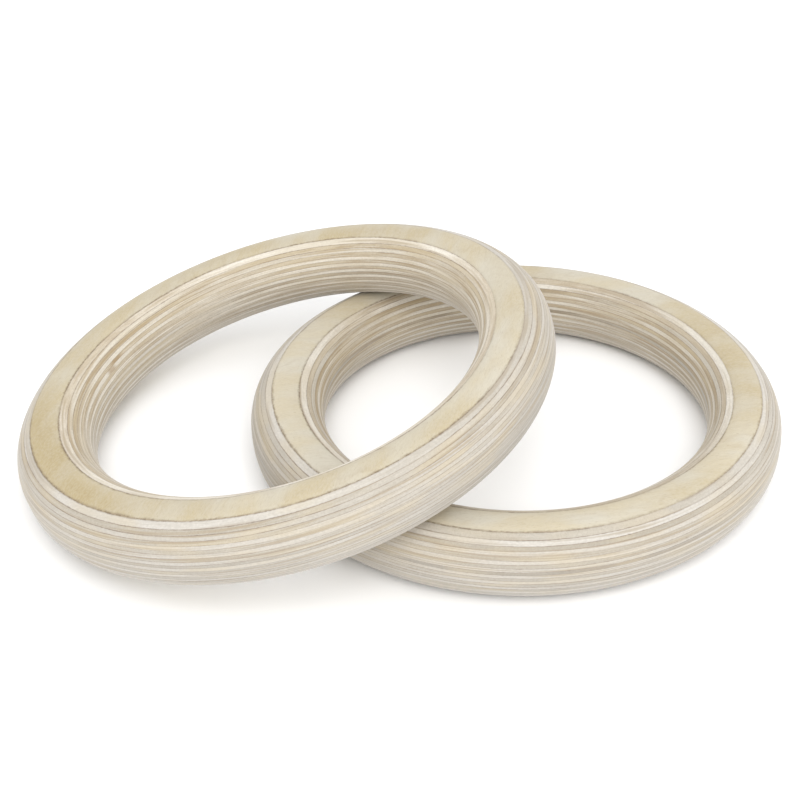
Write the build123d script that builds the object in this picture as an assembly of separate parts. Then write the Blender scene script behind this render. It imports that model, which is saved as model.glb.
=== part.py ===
from build123d import *
import math
import os

# A pair of wooden gymnastics rings, cross-laminated from birch veneers.
# One ring lies flat on the floor and the other leans on it.
# Millimetres, +Z up. The floor is z = 0 and the origin is under the middle of the pair:
# +X runs from the leaning ring's centre to the flat ring's centre.

# Each ring
outside_diameter = 235.0
grip_thickness = 32.0
corner_radius = 14.8
veneers_in_ring = 23
face_veneer_thickness = 0.85

# How the two rings lie
centre_spacing = 100.6
lean_angle = 12.66

# Worked out from the values above
grip_radius = (outside_diameter - grip_thickness) / 2
core_veneers = veneers_in_ring - 2
core_veneer_thickness = (grip_thickness - 2 * face_veneer_thickness) / core_veneers
half_flat = grip_thickness / 2 - corner_radius
lean_sine = math.sin(math.radians(lean_angle))
lean_cosine = math.cos(math.radians(lean_angle))

# The leaning ring's lowest and outermost points are on its grip's rounded corners.
leaning_centre_height = (grip_radius + half_flat) * lean_sine + half_flat * lean_cosine + corner_radius
leaning_reach = (grip_radius + half_flat) * lean_cosine + half_flat * lean_sine + corner_radius
flat_centre_x = (centre_spacing + leaning_reach - outside_diameter / 2) / 2
leaning_centre_x = flat_centre_x - centre_spacing


def grip_section():
    """The rounded-square section of the grip, beside the ring's axis."""
    return Plane.XZ * Pos(grip_radius, 0) * RectangleRounded(grip_thickness, grip_thickness, corner_radius)


def veneer(low, high):
    """One annular veneer of a ring whose middle plane is z = 0, from z = low to z = high."""
    layer = Plane.XZ * Pos(grip_radius, (low + high) / 2) * Rectangle(2 * grip_thickness, high - low)
    return revolve(grip_section() & layer, Axis.Z)


def veneer_stack():
    """The veneers of one ring from its top face down, as (name, low, high)."""
    top = grip_thickness / 2
    core_top = top - face_veneer_thickness
    stack = [("top_face_veneer", core_top, top)]
    for number in range(1, core_veneers + 1):
        high = core_top - (number - 1) * core_veneer_thickness
        stack.append((f"core_veneer_{number:02d}", high - core_veneer_thickness, high))
    stack.append(("bottom_face_veneer", -top, -core_top))
    return stack


def write_ring(ring_name, place):
    """Writes each veneer of one ring as a node of its own, at the ring's place."""
    for veneer_name, low, high in veneer_stack():
        node = place * veneer(low, high)
        export_step(node, f"parts/{ring_name}_{veneer_name}.step")


os.makedirs("parts", exist_ok=True)
write_ring("flat_ring", Pos(flat_centre_x, 0, grip_thickness / 2))
write_ring("leaning_ring", Pos(leaning_centre_x, 0, leaning_centre_height) * Rot(0, -lean_angle, 0))
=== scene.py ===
import math
import random

import bpy
import numpy as np
from mathutils import Matrix, Vector


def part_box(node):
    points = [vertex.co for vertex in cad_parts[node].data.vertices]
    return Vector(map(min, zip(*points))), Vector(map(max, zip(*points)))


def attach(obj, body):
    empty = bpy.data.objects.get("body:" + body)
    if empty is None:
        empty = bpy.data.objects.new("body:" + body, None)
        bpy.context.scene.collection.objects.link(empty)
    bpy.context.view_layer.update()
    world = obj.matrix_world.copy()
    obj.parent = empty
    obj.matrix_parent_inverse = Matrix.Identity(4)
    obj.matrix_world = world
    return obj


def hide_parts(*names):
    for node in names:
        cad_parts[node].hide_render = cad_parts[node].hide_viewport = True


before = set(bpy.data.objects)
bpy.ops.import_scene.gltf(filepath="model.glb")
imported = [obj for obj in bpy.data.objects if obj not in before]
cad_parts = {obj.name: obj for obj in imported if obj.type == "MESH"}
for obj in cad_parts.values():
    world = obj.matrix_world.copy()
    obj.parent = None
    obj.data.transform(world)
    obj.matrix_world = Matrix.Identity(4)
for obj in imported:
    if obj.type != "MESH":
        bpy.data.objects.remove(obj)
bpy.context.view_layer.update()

# The look of a pair of birch rings. Each ring is a stack of cross-laminated veneers that has been
# rounded over and sanded, so every veneer shows as a thin stripe. Each veneer becomes one piece with
# gently uneven glue lines, in the place of its CAD node. Lengths are in metres.

MILLIMETRE = 0.001
RINGS = ("flat_ring", "leaning_ring")
CORE_VENEERS = 21
VENEERS = (
    ["top_face_veneer"]
    + [f"core_veneer_{number:02d}" for number in range(1, CORE_VENEERS + 1)]
    + ["bottom_face_veneer"]
)
MIDDLE_VENEER = len(VENEERS) // 2

# Mesh density
STEPS_ROUND_RING = 480
STEPS_ACROSS_EDGE = 5
STEPS_OVER_CORNER = 8

# How uneven the glue lines are: a warp that a ring's veneers share, and a ripple of each line's own
STACK_WARP = 0.20 * MILLIMETRE
OWN_RIPPLE = 0.07 * MILLIMETRE
WARP_WAVELENGTHS = (0.12, 0.30)
RIPPLE_WAVELENGTHS = (0.03, 0.12)
WAVES_IN_FIELD = 4
CALMING_TOWARDS_FACES = 0.75  # share of the unevenness that is gone at the rings' faces

# Where each ring's random draws start
RING_SEEDS = {"flat_ring": 11, "leaning_ring": 47}


# ---------------------------------------------------------------- measures taken from the frame

def node_points(node):
    """A CAD node's vertices as an array, one row each."""
    return np.array([vertex.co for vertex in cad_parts[node].data.vertices])


def ring_place(ring):
    """The matrix from a ring's own axes, middle at the origin and +Z along its axis, to its place."""
    points = node_points(f"{ring}_{VENEERS[MIDDLE_VENEER]}")
    middle = Vector((points.min(0) + points.max(0)) / 2)
    axis = Vector(np.linalg.svd(points - np.array(middle), full_matrices=False)[2][2])
    if axis.z < 0:
        axis = -axis
    side = Vector((0, 1, 0))
    forward = side.cross(axis).normalized()
    turn = Matrix((forward, axis.cross(forward), axis)).transposed()
    return Matrix.Translation(middle) @ turn.to_4x4()


def flat_ring_distances(node, place):
    """How far a flat ring's node's vertices are from the ring's axis, and how high above its middle."""
    points = node_points(node) - np.array(place.translation)
    return np.hypot(points[:, 0], points[:, 1]), points[:, 2]


PLACES = {ring: ring_place(ring) for ring in RINGS}
FLAT_MIDDLE = PLACES["flat_ring"].translation
HALF_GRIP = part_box("flat_ring_top_face_veneer")[1].z - FLAT_MIDDLE.z
face_radii, face_heights = flat_ring_distances("flat_ring_top_face_veneer", PLACES["flat_ring"])
middle_radii, _ = flat_ring_distances(f"flat_ring_{VENEERS[MIDDLE_VENEER]}", PLACES["flat_ring"])
LEVEL_WITHIN = 0.01 * MILLIMETRE
flat_band = face_radii[face_heights > HALF_GRIP - LEVEL_WITHIN]
HALF_FLAT = (flat_band.max() - flat_band.min()) / 2
CORNER_RADIUS = HALF_GRIP - HALF_FLAT
GRIP_RADIUS = middle_radii.max() - HALF_GRIP
GLUE_LINE_HEIGHTS = [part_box(f"flat_ring_{veneer}")[0].z - FLAT_MIDDLE.z for veneer in VENEERS[:-1]]


# ---------------------------------------------------------------- camera

def place_camera():
    """A long lens from the front, a little to the left and a third of the way up."""
    azimuth = math.radians(-8.36)
    elevation = math.radians(33.42)
    roll = math.radians(0.52)
    distance = 0.6237
    aim_right = -0.0160
    aim_up = 0.0036
    right = Vector((math.cos(azimuth), math.sin(azimuth), 0))
    back = Vector((
        math.sin(azimuth) * math.cos(elevation),
        -math.cos(azimuth) * math.cos(elevation),
        math.sin(elevation),
    ))
    up = back.cross(right)
    camera_right = math.cos(roll) * right + math.sin(roll) * up
    camera_up = math.cos(roll) * up - math.sin(roll) * right
    data = bpy.data.cameras.new("camera")
    data.lens = 62.43
    data.sensor_width = 36
    data.shift_x = -0.1
    data.clip_start = 0.01
    data.clip_end = 20
    camera = bpy.data.objects.new("camera", data)
    turn = Matrix((camera_right, camera_up, back)).transposed()
    spot = FLAT_MIDDLE + aim_right * camera_right + aim_up * camera_up + distance * back
    camera.matrix_world = Matrix.Translation(spot) @ turn.to_4x4()
    bpy.context.scene.collection.objects.link(camera)
    bpy.context.scene.camera = camera


# ---------------------------------------------------------------- veneer shapes

def half_width(height):
    """Half the grip's width at a height above its middle."""
    rise = np.clip(np.abs(height) - HALF_FLAT, 0, CORNER_RADIUS)
    return HALF_FLAT + np.sqrt(CORNER_RADIUS ** 2 - rise ** 2)


def wavy_field(chance, shortest, longest):
    """A random smooth function of place, mostly within -1 to 1, as a sum of plane waves."""
    waves = []
    for _ in range(WAVES_IN_FIELD):
        heading = chance.uniform(0, math.tau)
        stretch = math.tau / chance.uniform(shortest, longest)
        waves.append((stretch * math.cos(heading), stretch * math.sin(heading), chance.uniform(0, math.tau)))
    share = 1 / math.sqrt(WAVES_IN_FIELD)
    return lambda x, y: sum(np.sin(a * x + b * y + phase) for a, b, phase in waves) * share


def glue_line(height, warp, ripple, angles, side):
    """Height of one glue line at the ring's outer (side 1) or inner (side -1) surface, round the ring."""
    radius = GRIP_RADIUS + side * half_width(height)
    x = radius * np.cos(angles)
    y = radius * np.sin(angles)
    freedom = 1 - CALMING_TOWARDS_FACES * (height / HALF_GRIP) ** 2
    return height + freedom * (STACK_WARP * warp(x, y) + OWN_RIPPLE * ripple(x, y))


def glue_lines_of_ring(seed, angles):
    """Every glue line of one ring, from the top down, each as (outer heights, inner heights)."""
    chance = random.Random(seed)
    warp = wavy_field(chance, *WARP_WAVELENGTHS)
    lines = []
    for height in GLUE_LINE_HEIGHTS:
        ripple = wavy_field(chance, *RIPPLE_WAVELENGTHS)
        lines.append(tuple(glue_line(height, warp, ripple, angles, side) for side in (1, -1)))
    return lines


def edge_points(low, high, side):
    """A core veneer's edge at one surface, from low to high.

    Rows of (radius, height, normal outwards, normal upwards, depth from the nearer glue line).
    """
    rows = []
    for step in range(STEPS_ACROSS_EDGE + 1):
        share = step / STEPS_ACROSS_EDGE
        height = low + (high - low) * share
        rise = np.sign(height) * np.clip(np.abs(height) - HALF_FLAT, 0, CORNER_RADIUS)
        normal_up = rise / CORNER_RADIUS
        normal_out = side * np.sqrt(1 - normal_up ** 2)
        depth = (high - low) * min(share, 1 - share)
        rows.append((GRIP_RADIUS + side * half_width(height), height, normal_out, normal_up, depth))
    return rows


def core_section(above, below):
    """The loop of points round a core veneer's section: outer edge going up, inner edge going down."""
    outer = edge_points(below[0], above[0], 1)
    inner = edge_points(below[1], above[1], -1)
    return outer + inner[::-1]


def face_section(line, up):
    """The loop of points round a face veneer's section, from outer to inner glue line over the face."""
    rows = []
    for side, heights in ((1, line[0]), (-1, line[1])):
        start = np.arcsin(np.clip((up * heights - HALF_FLAT) / CORNER_RADIUS, 0, 1))
        for step in range(STEPS_OVER_CORNER + 1):
            slope = start + (math.pi / 2 - start) * step / STEPS_OVER_CORNER
            radius = GRIP_RADIUS + side * (HALF_FLAT + CORNER_RADIUS * np.cos(slope))
            height = HALF_FLAT + CORNER_RADIUS * np.sin(slope)
            depth = np.abs(height - up * heights)
            rows.append((radius, up * height, side * np.cos(slope), up * np.sin(slope), depth))
    half = STEPS_OVER_CORNER + 1
    loop = rows[:half] + rows[half:][::-1]
    return loop if up > 0 else loop[::-1]


def revolve(name, section, hidden_steps, angles):
    """A closed mesh from a section that changes round the ring, with true normals on its visible faces."""
    rows = len(section)
    columns = len(angles)
    ones = np.ones(columns)
    radius, height, normal_out, normal_up, depth = (
        np.array([row[item] * ones for row in section]) for item in range(5)
    )
    points = np.stack([radius * np.cos(angles), radius * np.sin(angles), height], -1)
    normals = np.stack([normal_out * np.cos(angles), normal_out * np.sin(angles), normal_up * ones], -1)
    row, column = np.meshgrid(np.arange(rows), np.arange(columns), indexing="ij")
    next_row = (row + 1) % rows
    next_column = (column + 1) % columns
    corner_rows = np.stack([row, row, next_row, next_row], -1)
    corner_columns = np.stack([column, next_column, next_column, column], -1)
    corners = corner_rows * columns + corner_columns
    mesh = bpy.data.meshes.new(name)
    mesh.from_pydata(points.reshape(-1, 3).tolist(), [], corners.reshape(-1, 4).tolist())
    corner_normals = normals.reshape(-1, 3)[corners]
    for step, upwards in hidden_steps.items():
        corner_normals[step] = (0, 0, upwards)
    mesh.shade_smooth()
    mesh.normals_split_custom_set(corner_normals.reshape(-1, 3).tolist())
    depths = mesh.attributes.new("depth_from_glue", "FLOAT", "POINT")
    depths.data.foreach_set("value", (depth / MILLIMETRE).astype(np.float32).ravel())
    return mesh


def veneer_mesh(name, index, lines, angles):
    """The mesh of one veneer of a ring, in the ring's own axes. Index 0 is the top face veneer."""
    if index == 0:
        section = face_section(lines[0], 1)
        return revolve(name, section, {len(section) - 1: -1}, angles)
    if index == len(VENEERS) - 1:
        section = face_section(lines[-1], -1)
        return revolve(name, section, {len(section) - 1: 1}, angles)
    section = core_section(lines[index - 1], lines[index])
    hidden = {STEPS_ACROSS_EDGE: 1, len(section) - 1: -1}
    return revolve(name, section, hidden, angles)


# ---------------------------------------------------------------- materials

def srgb(red, green, blue):
    """A colour from 0..255 screen values, as the linear values that nodes take."""
    linear = [((value / 255 + 0.055) / 1.055) ** 2.4 for value in (red, green, blue)]
    return (*linear, 1.0)


# The heading of the face veneers' grain, in degrees in each ring's own axes
GRAIN_DEGREES = {"flat_ring": 4, "leaning_ring": 67}

# Core veneers. Their inside colours, for the wall of the ring's hole, are painted light and shade: warmer,
# browner and further apart than the outside colours
CORE_COLOURS = {
    "long grain outside": srgb(188, 182, 172),
    "end grain outside": srgb(171, 163, 149),
    "long grain in painted hole light": srgb(203, 196, 182),
    "end grain in painted hole shade": srgb(168, 152, 125),
    "brown band outside": srgb(160, 144, 119),
    "brown band in painted hole shade": srgb(158, 136, 99),
}
CORE_WARMTH = srgb(193, 178, 147)
CORE_FIBRE = srgb(138, 124, 102)
CORE_PORE = srgb(115, 98, 77)
CORE_GLUE = srgb(108, 91, 76)
CORE_GLUE_WIDTH = 0.28  # millimetres to each side of a glue line, where the glue shows widest
# How much of the end grain look a core veneer has where it is cut along and across its grain
END_GRAIN_SHARES = {"flat_ring": (0.0, 1.0), "leaning_ring": (0.04, 0.78)}
# Painted shade: each core veneer is greyer than the one above it, standing in for the cooler, greyer light
# that falls on the ring's lower side
PAINTED_SHADE_GREYING_PER_VENEER = 0.020  # how much colour each core veneer loses against the one above it
# Painted light and shade on the hole's wall: the flat ring's is painted darker and the leaning ring's
# lighter, and the veneers' brightnesses are set further apart there
HOLE_WALL_PAINTED_LIGHT = {"flat_ring": 0.94, "leaning_ring": 1.04}  # of the hole's wall against its colours
HOLE_WALL_PAINTED_CONTRAST = 1.5  # power that sets the core veneers' brightnesses further apart on the hole's wall
# One letter for each core veneer from the top down, from W for the palest to B for the darkest
CORE_TONES = {
    "flat_ring": "WWDLLLMMBLMMMMMMLMLML",
    "leaning_ring": "WMNMLMLLMDLNLNMLMLLMM",
}
TONE_BRIGHTNESS = {"W": 1.12, "L": 1.03, "M": 1.0, "N": 0.97, "D": 0.94, "B": 0.83}
# The W veneers lie just under the faces, where the rim rounds over; their lower saturation is a painted
# reflection: the greyish paleness of the rim seen at a glance
TONE_SATURATION_WITH_PAINTED_RIM_REFLECTION = {"W": 0.80, "L": 1.0, "M": 1.0, "N": 1.0, "D": 1.0, "B": 1.0}
# How strongly the glue shows: the same on the first core veneers, by chance on those below them
FIRST_VENEERS = 3
FIRST_GLUE_STRENGTH = 0.8
LEAST_GLUE_STRENGTH = 0.5
MOST_GLUE_STRENGTH = 0.9
# Small brown marks: heading in degrees, then outward shift, length and width in millimetres
BROWN_SPOTS = {
    "leaning_ring_core_veneer_06_birch": (155, -14.8, 4.5, 7.0),
    "leaning_ring_core_veneer_05_birch": (151, -14.4, 6.0, 5.0),
}
BROWN_SPOT = srgb(144, 118, 80)
BROWN_SPOT_STRENGTH = 0.55

# Face veneers
FACE_COLOURS = {
    "pale": srgb(196, 191, 177),
    "golden": srgb(193, 181, 153),
    "deep golden": srgb(172, 155, 115),
}
FACE_FIGURE = srgb(151, 130, 102)
FACE_FIBRE = srgb(142, 123, 96)
FACE_MOTTLE = srgb(197, 190, 176)
FACE_PORE = srgb(125, 100, 72)
FACE_GLUE = srgb(108, 91, 69)
FACE_GLUE_WIDTH = 0.46
FACE_GLUE_STRENGTH = 0.9
FIGURE_LINES = 80.0  # how closely the growth figure's lines follow each other
# Each patch: heading in degrees, then outward shift, length and width in millimetres, then strength
GOLDEN_PATCHES = {
    "flat_ring": [
        (5, -2, 95, 26, 0.50),
        (300, 7, 62, 12, 0.35),
        (135, 0, 32, 24, 0.30),
        (86, 0, 42, 22, 0.50),
    ],
    "leaning_ring": [
        (196, 4, 78, 26, 0.85),
        (222, 5, 46, 13, 0.85),
        (240, 3, 60, 22, 0.50),
        (70, -8, 85, 12, 0.50),
        (0, 3, 75, 14, 0.35),
        (290, -1, 110, 13, 0.35),
        (38, -1, 70, 12, 0.25),
        (160, 0, 60, 24, 0.40),
        (118, 0, 90, 24, 0.50),
        (66, 3, 34, 16, 0.45),
    ],
}
# Where the glue line round a face veneer is faint: heading, then outward shift, length and width
FAINT_GLUE_HEADING = {"flat_ring": 12, "leaning_ring": 15}
FAINT_GLUE_PATCH = (0, 95, 60)
BOTTOM_FACE_TURN = 150  # degrees from the top face's patches to the bottom face's

# Every veneer
SPECULAR_LEVEL = 0.30
SANDED_SHEEN = 0.20  # how pale the sanded nap makes the surface where it is seen at a glance
SANDED_SHEEN_ROUGHNESS = 0.35
RELIEF_STRENGTH = 0.35
RELIEF_DEPTH = 0.12 * MILLIMETRE


class Shader:
    """Adds nodes to one material. A node's inputs are numbers, colours or other nodes' outputs."""

    def __init__(self, name):
        self.material = bpy.data.materials.new(name)
        self.material.use_nodes = True
        self.tree = self.material.node_tree
        self.surface = self.tree.nodes["Principled BSDF"]

    def feed(self, socket, value):
        """Links another node's output to a socket, or sets the socket to a constant."""
        if isinstance(value, bpy.types.NodeSocket):
            self.tree.links.new(value, socket)
        elif value is not None:
            socket.default_value = value

    def node(self, kind, inputs, output=0, **settings):
        """A new node's output, once its inputs and settings are in."""
        made = self.tree.nodes.new(kind)
        for setting, value in settings.items():
            setattr(made, setting, value)
        for key, value in inputs.items():
            self.feed(made.inputs[key], value)
        return made.outputs[output]

    def math(self, operation, first, second=None):
        return self.node("ShaderNodeMath", {0: first, 1: second}, operation=operation)

    def vector(self, operation, first, second):
        return self.node("ShaderNodeVectorMath", {0: first, 1: second}, operation=operation)

    def noise(self, place, stretch, detail=2.0, roughness=0.5):
        """Noise whose grains are about stretch millimetres along each of the ring's axes."""
        scaled = self.vector("DIVIDE", place, stretch)
        inputs = {"Vector": scaled, "Scale": 1.0, "Detail": detail, "Roughness": roughness}
        return self.node("ShaderNodeTexNoise", inputs)

    def ramp(self, value, low, high, to_low=0.0, to_high=1.0):
        """Value carried smoothly from low..high to to_low..to_high."""
        inputs = {"Value": value, "From Min": low, "From Max": high, "To Min": to_low, "To Max": to_high}
        return self.node("ShaderNodeMapRange", inputs, interpolation_type="SMOOTHSTEP")

    def mix(self, share, first, second):
        """The first colour, turning into the second as share goes from 0 to 1."""
        made = self.tree.nodes.new("ShaderNodeMix")
        made.data_type = "RGBA"
        self.feed(made.inputs["Factor"], share)
        self.feed(made.inputs[6], first)
        self.feed(made.inputs[7], second)
        return made.outputs[2]

    def scale(self, colour, factor):
        return self.node("ShaderNodeVectorMath", {0: colour, "Scale": factor}, operation="SCALE")

    def turn(self, place, degrees):
        """Place turned about the ring's axis."""
        inputs = {"Vector": place, "Angle": math.radians(degrees)}
        return self.node("ShaderNodeVectorRotate", inputs, rotation_type="Z_AXIS")


def along_grain(grain, along, across, through):
    """Sizes along X, Y and Z, for grain that runs along X or along Y."""
    return (along, across, through) if grain == "x" else (across, along, through)


def wood_places(shader, ring, chance):
    """Places in millimetres: in the ring's axes, in its grain's axes, and the last moved away at random."""
    own = shader.tree.nodes.new("ShaderNodeTexCoord").outputs["Object"]
    millimetres = shader.vector("DIVIDE", own, (MILLIMETRE,) * 3)
    turned = shader.turn(millimetres, -GRAIN_DEGREES[ring])
    away = tuple(chance.uniform(-900, 900) for _ in range(3))
    return millimetres, turned, shader.vector("ADD", turned, away)


def glue_mask(shader, place, strength, widest):
    """How much glue and dark sanding dust shows: a soft uneven line along each glue line."""
    depth = shader.node("ShaderNodeAttribute", {}, output=2, attribute_name="depth_from_glue")
    unevenness = shader.noise(place, (5.0, 5.0, 2.0), detail=4.0, roughness=0.65)
    width = shader.ramp(unevenness, 0.35, 0.70, 0.5 * widest, widest)
    line = shader.ramp(shader.math("DIVIDE", depth, width), 0.0, 1.0, 1.0, 0.0)
    dots = shader.noise(place, (1.8, 1.8, 1.5), detail=2.0, roughness=0.6)
    stretches = shader.noise(place, (45.0, 45.0, 30.0), detail=2.0)
    dotted = shader.ramp(dots, 0.40, 0.58, 0.55, 1.0)
    stretched = shader.ramp(stretches, 0.36, 0.60, 0.45, 1.0)
    presence = shader.math("MULTIPLY", dotted, stretched)
    return shader.math("MULTIPLY", shader.math("MULTIPLY", line, presence), strength)


def end_grain_share(shader, turned, grain):
    """1 where a veneer's edge is cut square across the grain, 0 where it is cut along it."""
    parts = shader.tree.nodes.new("ShaderNodeSeparateXYZ")
    level = shader.vector("MULTIPLY", turned, (1, 1, 0))
    shader.feed(parts.inputs[0], shader.vector("NORMALIZE", level, None))
    out = parts.outputs[0 if grain == "x" else 1]
    return shader.math("MULTIPLY", out, out)


def inside_share(shader, millimetres):
    """1 on the inner half of the grip, 0 on the outer half."""
    flat_place = shader.vector("MULTIPLY", millimetres, (1, 1, 0))
    radius = shader.node("ShaderNodeVectorMath", {0: flat_place}, output=1, operation="LENGTH")
    middle = GRIP_RADIUS / MILLIMETRE
    half_change = 6
    return shader.ramp(radius, middle - half_change, middle + half_change, 1.0, 0.0)


def soft_patch(shader, millimetres, heading, outwards, length, width):
    """1 at a spot on a ring, fading to 0 at the rim of an ellipse whose length runs round the ring."""
    radius = GRIP_RADIUS / MILLIMETRE + outwards
    from_spot = shader.vector("SUBTRACT", shader.turn(millimetres, -heading), (radius, 0, 0))
    any_height = 1000
    share = shader.vector("DIVIDE", from_spot, (width, length, any_height))
    distance = shader.node("ShaderNodeVectorMath", {0: share}, output=1, operation="LENGTH")
    return shader.ramp(distance, 0.25, 1.0, 1.0, 0.0)


def finish_wood(shader, colour, fibres, pores, glue):
    """Joins the colour, a dry sanded roughness, a faint sheen and a fine relief to the surface."""
    shader.feed(shader.surface.inputs["Base Color"], colour)
    shader.feed(shader.surface.inputs["Roughness"], shader.ramp(fibres, 0.3, 0.7, 0.62, 0.80))
    shader.feed(shader.surface.inputs["Specular IOR Level"], SPECULAR_LEVEL)
    shader.feed(shader.surface.inputs["Sheen Weight"], SANDED_SHEEN)
    shader.feed(shader.surface.inputs["Sheen Roughness"], SANDED_SHEEN_ROUGHNESS)
    fibre_relief = shader.math("MULTIPLY", fibres, 0.5)
    pore_relief = shader.math("MULTIPLY", pores, -0.5)
    glue_relief = shader.math("MULTIPLY", glue, -0.3)
    relief = shader.math("ADD", shader.math("ADD", fibre_relief, pore_relief), glue_relief)
    bump_inputs = {"Strength": RELIEF_STRENGTH, "Distance": RELIEF_DEPTH, "Height": relief}
    shader.feed(shader.surface.inputs["Normal"], shader.node("ShaderNodeBump", bump_inputs))
    return shader.material


def core_material(name, ring, chance, grain, brightness, painted_greying_saturation, glue_strength):
    """A core veneer seen on its edge: streaks, and browner with specks where its grain is cut across; on the
    hole's wall, painted light and shade.
    """
    shader = Shader(name)
    millimetres, turned, place = wood_places(shader, ring, chance)
    end_grain = end_grain_share(shader, turned, grain)
    inside = inside_share(shader, millimetres)
    streaks = shader.noise(place, along_grain(grain, 30.0, 12.0, 0.50), detail=3.0, roughness=0.6)
    bands = shader.noise(place, (50.0, 50.0, 0.8), detail=1.0)
    fibres = shader.noise(place, along_grain(grain, 4.0, 0.35, 0.30), detail=3.0, roughness=0.6)
    specks = shader.noise(place, along_grain(grain, 2.5, 0.22, 0.22), detail=1.0)
    warmth = shader.noise(place, (28.0, 28.0, 8.0), detail=1.0)
    mottle = shader.noise(place, (1.0, 1.0, 0.6), detail=1.0)
    open_ends = shader.ramp(end_grain, 0.0, 1.0, 0.4, 1.0)
    pores = shader.math("MULTIPLY", shader.ramp(specks, 0.58, 0.75), open_ends)
    # On the hole's wall the colours carry painted light and shade: warmer and browner than outside
    long_look = shader.mix(inside, CORE_COLOURS["long grain outside"], CORE_COLOURS["long grain in painted hole light"])
    end_look = shader.mix(inside, CORE_COLOURS["end grain outside"], CORE_COLOURS["end grain in painted hole shade"])
    unevenness = shader.ramp(streaks, 0.32, 0.68, -0.25, 0.25)
    browning = shader.math("ADD", shader.ramp(end_grain, 0.0, 1.0, *END_GRAIN_SHARES[ring]), unevenness)
    body = shader.mix(browning, long_look, end_look)
    # Painted light and shade on the hole's wall: its own brightness, with the veneers set further apart
    painted_hole_wall_brightness = HOLE_WALL_PAINTED_LIGHT[ring] * brightness ** HOLE_WALL_PAINTED_CONTRAST
    evenness = shader.ramp(inside, 0.0, 1.0, brightness, painted_hole_wall_brightness)
    mottling = shader.ramp(mottle, 0.3, 0.7, 0.955, 1.045)
    body = shader.scale(body, shader.math("MULTIPLY", evenness, mottling))
    body = shader.mix(shader.ramp(warmth, 0.45, 0.70, 0.0, 0.48), body, CORE_WARMTH)
    brown = shader.mix(inside, CORE_COLOURS["brown band outside"], CORE_COLOURS["brown band in painted hole shade"])
    body = shader.mix(shader.ramp(bands, 0.50, 0.70, 0.0, 0.60), body, brown)
    body = shader.mix(shader.ramp(fibres, 0.35, 0.65, 0.14, 0.0), body, CORE_FIBRE)
    body = shader.mix(shader.math("MULTIPLY", pores, 0.26), body, CORE_PORE)
    body = shader.node("ShaderNodeHueSaturation", {"Saturation": painted_greying_saturation, "Color": body})
    if name in BROWN_SPOTS:
        spot = soft_patch(shader, millimetres, *BROWN_SPOTS[name])
        body = shader.mix(shader.math("MULTIPLY", spot, BROWN_SPOT_STRENGTH), body, BROWN_SPOT)
    glue = glue_mask(shader, place, glue_strength, CORE_GLUE_WIDTH)
    body = shader.mix(glue, body, CORE_GLUE)
    return finish_wood(shader, body, fibres, pores, glue)


def face_material(name, ring, chance, grain, patch_turn):
    """A face veneer seen flat on: golden patches, wavy growth figure, short pores and a fine mottle."""
    shader = Shader(name)
    millimetres, _, place = wood_places(shader, ring, chance)
    clouds = shader.noise(place, along_grain(grain, 40.0, 16.0, 40.0), detail=3.0, roughness=0.55)
    figure_field = shader.noise(place, along_grain(grain, 60.0, 22.0, 60.0), detail=2.5, roughness=0.45)
    figure_wave = shader.math("SINE", shader.math("MULTIPLY", figure_field, FIGURE_LINES))
    figure_places = shader.noise(place, (24.0, 24.0, 24.0), detail=1.0)
    fibres = shader.noise(place, along_grain(grain, 5.0, 0.30, 0.30), detail=3.0, roughness=0.6)
    mottle = shader.noise(place, along_grain(grain, 1.5, 0.7, 0.7), detail=2.0)
    specks = shader.noise(place, along_grain(grain, 1.8, 0.20, 0.20), detail=1.0)
    pores = shader.ramp(specks, 0.60, 0.74)
    cloudiness = shader.ramp(clouds, 0.35, 0.65, 0.10, 0.75)
    body = shader.mix(cloudiness, FACE_COLOURS["pale"], FACE_COLOURS["golden"])
    for heading, outwards, length, width, strength in GOLDEN_PATCHES[ring]:
        patch = soft_patch(shader, millimetres, heading + patch_turn, outwards, length, width)
        cloudy = shader.math("MULTIPLY", patch, shader.ramp(clouds, 0.30, 0.60, 0.65, 1.0))
        body = shader.mix(shader.math("MULTIPLY", cloudy, strength), body, FACE_COLOURS["deep golden"])
    figure_strength = shader.ramp(figure_places, 0.42, 0.62, 0.02, 0.11)
    figure = shader.math("MULTIPLY", shader.ramp(figure_wave, 0.1, 1.0), figure_strength)
    body = shader.mix(figure, body, FACE_FIGURE)
    body = shader.mix(shader.ramp(fibres, 0.35, 0.65, 0.12, 0.0), body, FACE_FIBRE)
    body = shader.mix(shader.ramp(mottle, 0.40, 0.65, 0.0, 0.20), body, FACE_MOTTLE)
    body = shader.mix(shader.math("MULTIPLY", pores, 0.28), body, FACE_PORE)
    faint = soft_patch(shader, millimetres, FAINT_GLUE_HEADING[ring] + patch_turn, *FAINT_GLUE_PATCH)
    glue = glue_mask(shader, place, FACE_GLUE_STRENGTH, FACE_GLUE_WIDTH)
    glue = shader.math("MULTIPLY", glue, shader.ramp(faint, 0.0, 1.0, 1.0, 0.35))
    body = shader.mix(glue, body, FACE_GLUE)
    return finish_wood(shader, body, fibres, pores, glue)


SANDED_SHEEN = 0.20  # how pale the sanded nap makes the surface where it is seen at a glance


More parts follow.
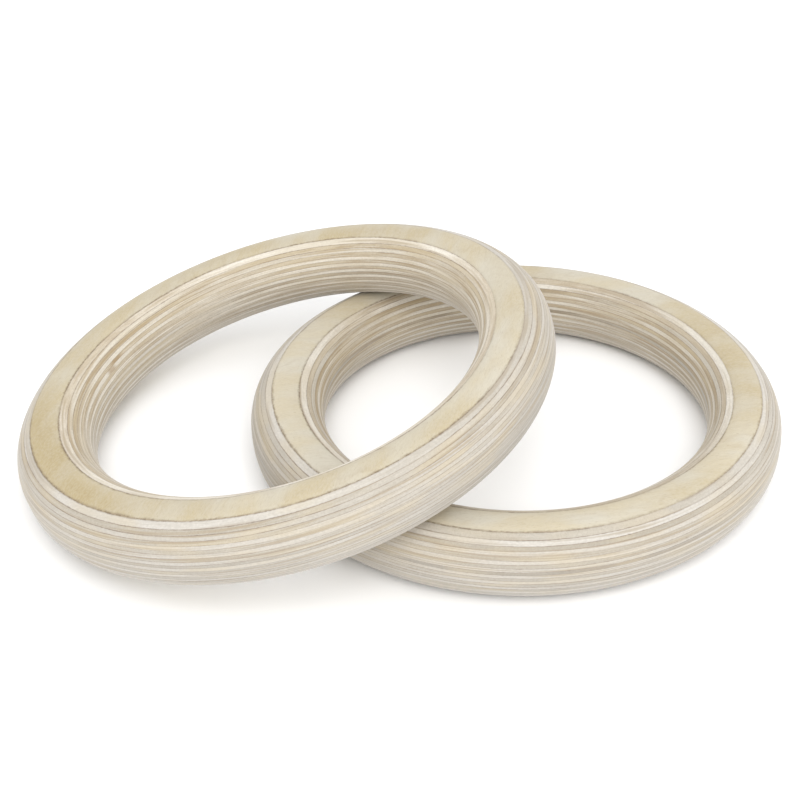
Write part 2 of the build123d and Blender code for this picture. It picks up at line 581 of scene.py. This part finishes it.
def veneer_material(ring, index, chance):
    """The material of one veneer. The grain turns a quarter round from each veneer to the next."""
    grain = "x" if index % 2 == 0 else "y"
    name = f"{ring}_{VENEERS[index]}_birch"
    if index == 0:
        return face_material(name, ring, chance, grain, 0)
    if index == len(VENEERS) - 1:
        return face_material(name, ring, chance, grain, BOTTOM_FACE_TURN)
    tone = CORE_TONES[ring][index - 1]
    brightness = TONE_BRIGHTNESS[tone]
    glue_strength = FIRST_GLUE_STRENGTH
    if index > FIRST_VENEERS:
        glue_strength = chance.uniform(LEAST_GLUE_STRENGTH, MOST_GLUE_STRENGTH)
    # Painted shade: greyer towards the ring's lower side
    painted_greying_saturation = TONE_SATURATION_WITH_PAINTED_RIM_REFLECTION[tone] - PAINTED_SHADE_GREYING_PER_VENEER * (index - 1)
    return core_material(name, ring, chance, grain, brightness, painted_greying_saturation, glue_strength)


# ---------------------------------------------------------------- pieces

def build_ring(ring):
    """Every veneer of one ring as a piece that stands for its CAD node and rides on the ring's body."""
    seed = RING_SEEDS[ring]
    angles = np.arange(STEPS_ROUND_RING) * math.tau / STEPS_ROUND_RING
    lines = glue_lines_of_ring(seed, angles)
    chance = random.Random(seed + 1)
    for index, veneer in enumerate(VENEERS):
        node = f"{ring}_{veneer}"
        mesh = veneer_mesh(f"{node}_birch", index, lines, angles)
        mesh.materials.append(veneer_material(ring, index, chance))
        piece = bpy.data.objects.new(f"{node}_birch", mesh)
        bpy.context.scene.collection.objects.link(piece)
        piece.matrix_world = PLACES[ring]
        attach(piece, ring)
        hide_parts(node)


# ---------------------------------------------------------------- surroundings

FLOOR_HALF_WIDTH = 6.0
FLOOR_COLOUR = (0.97, 0.97, 0.97, 1)
WORLD_STRENGTH = 0.95
LAMP_WIDTH = 1.0
# Each lamp: name, place, watts. All face the origin
LAMPS = (
    ("high_front", (0.0, -1.0, 1.2), 10.4),
    ("low_left", (-1.55, -0.5, 0.35), 3.9),
    ("front_right", (0.95, -1.3, 0.6), 4.2),
    ("right", (1.3, -0.2, 0.9), 1.2),
    ("back_right", (1.1, 1.1, 0.7), 1.5),
    ("overhead", (0.0, 0.0, 1.6), 2.3),
)


def make_floor():
    """A wide pale floor."""
    half = FLOOR_HALF_WIDTH
    corners = [(-half, -half, 0), (half, -half, 0), (half, half, 0), (-half, half, 0)]
    mesh = bpy.data.meshes.new("floor")
    mesh.from_pydata(corners, [], [(0, 1, 2, 3)])
    floor = bpy.data.objects.new("floor", mesh)
    bpy.context.scene.collection.objects.link(floor)
    shader = Shader("pale_floor")
    shader.feed(shader.surface.inputs["Base Color"], FLOOR_COLOUR)
    shader.feed(shader.surface.inputs["Roughness"], 0.9)
    shader.feed(shader.surface.inputs["Specular IOR Level"], 0.1)
    mesh.materials.append(shader.material)


def hang_lamp(name, spot, watts):
    """A square soft lamp at spot, facing the origin."""
    data = bpy.data.lights.new(name, "AREA")
    data.shape = "SQUARE"
    data.size = LAMP_WIDTH
    data.energy = watts
    light = bpy.data.objects.new(name, data)
    light.location = spot
    light.rotation_euler = Vector(spot).to_track_quat("Z", "Y").to_euler()
    bpy.context.scene.collection.objects.link(light)


def light_scene():
    """A soft white studio: an even world, and large square lamps all round, most of it from the front."""
    world = bpy.data.worlds.new("studio")
    bpy.context.scene.world = world
    world.use_nodes = True
    world.node_tree.nodes["Background"].inputs["Color"].default_value = (1, 1, 1, 1)
    world.node_tree.nodes["Background"].inputs["Strength"].default_value = WORLD_STRENGTH
    for lamp in LAMPS:
        hang_lamp(*lamp)
    bpy.context.scene.view_settings.view_transform = "Standard"


place_camera()
for ring_name in RINGS:
    build_ring(ring_name)
make_floor()
light_scene()
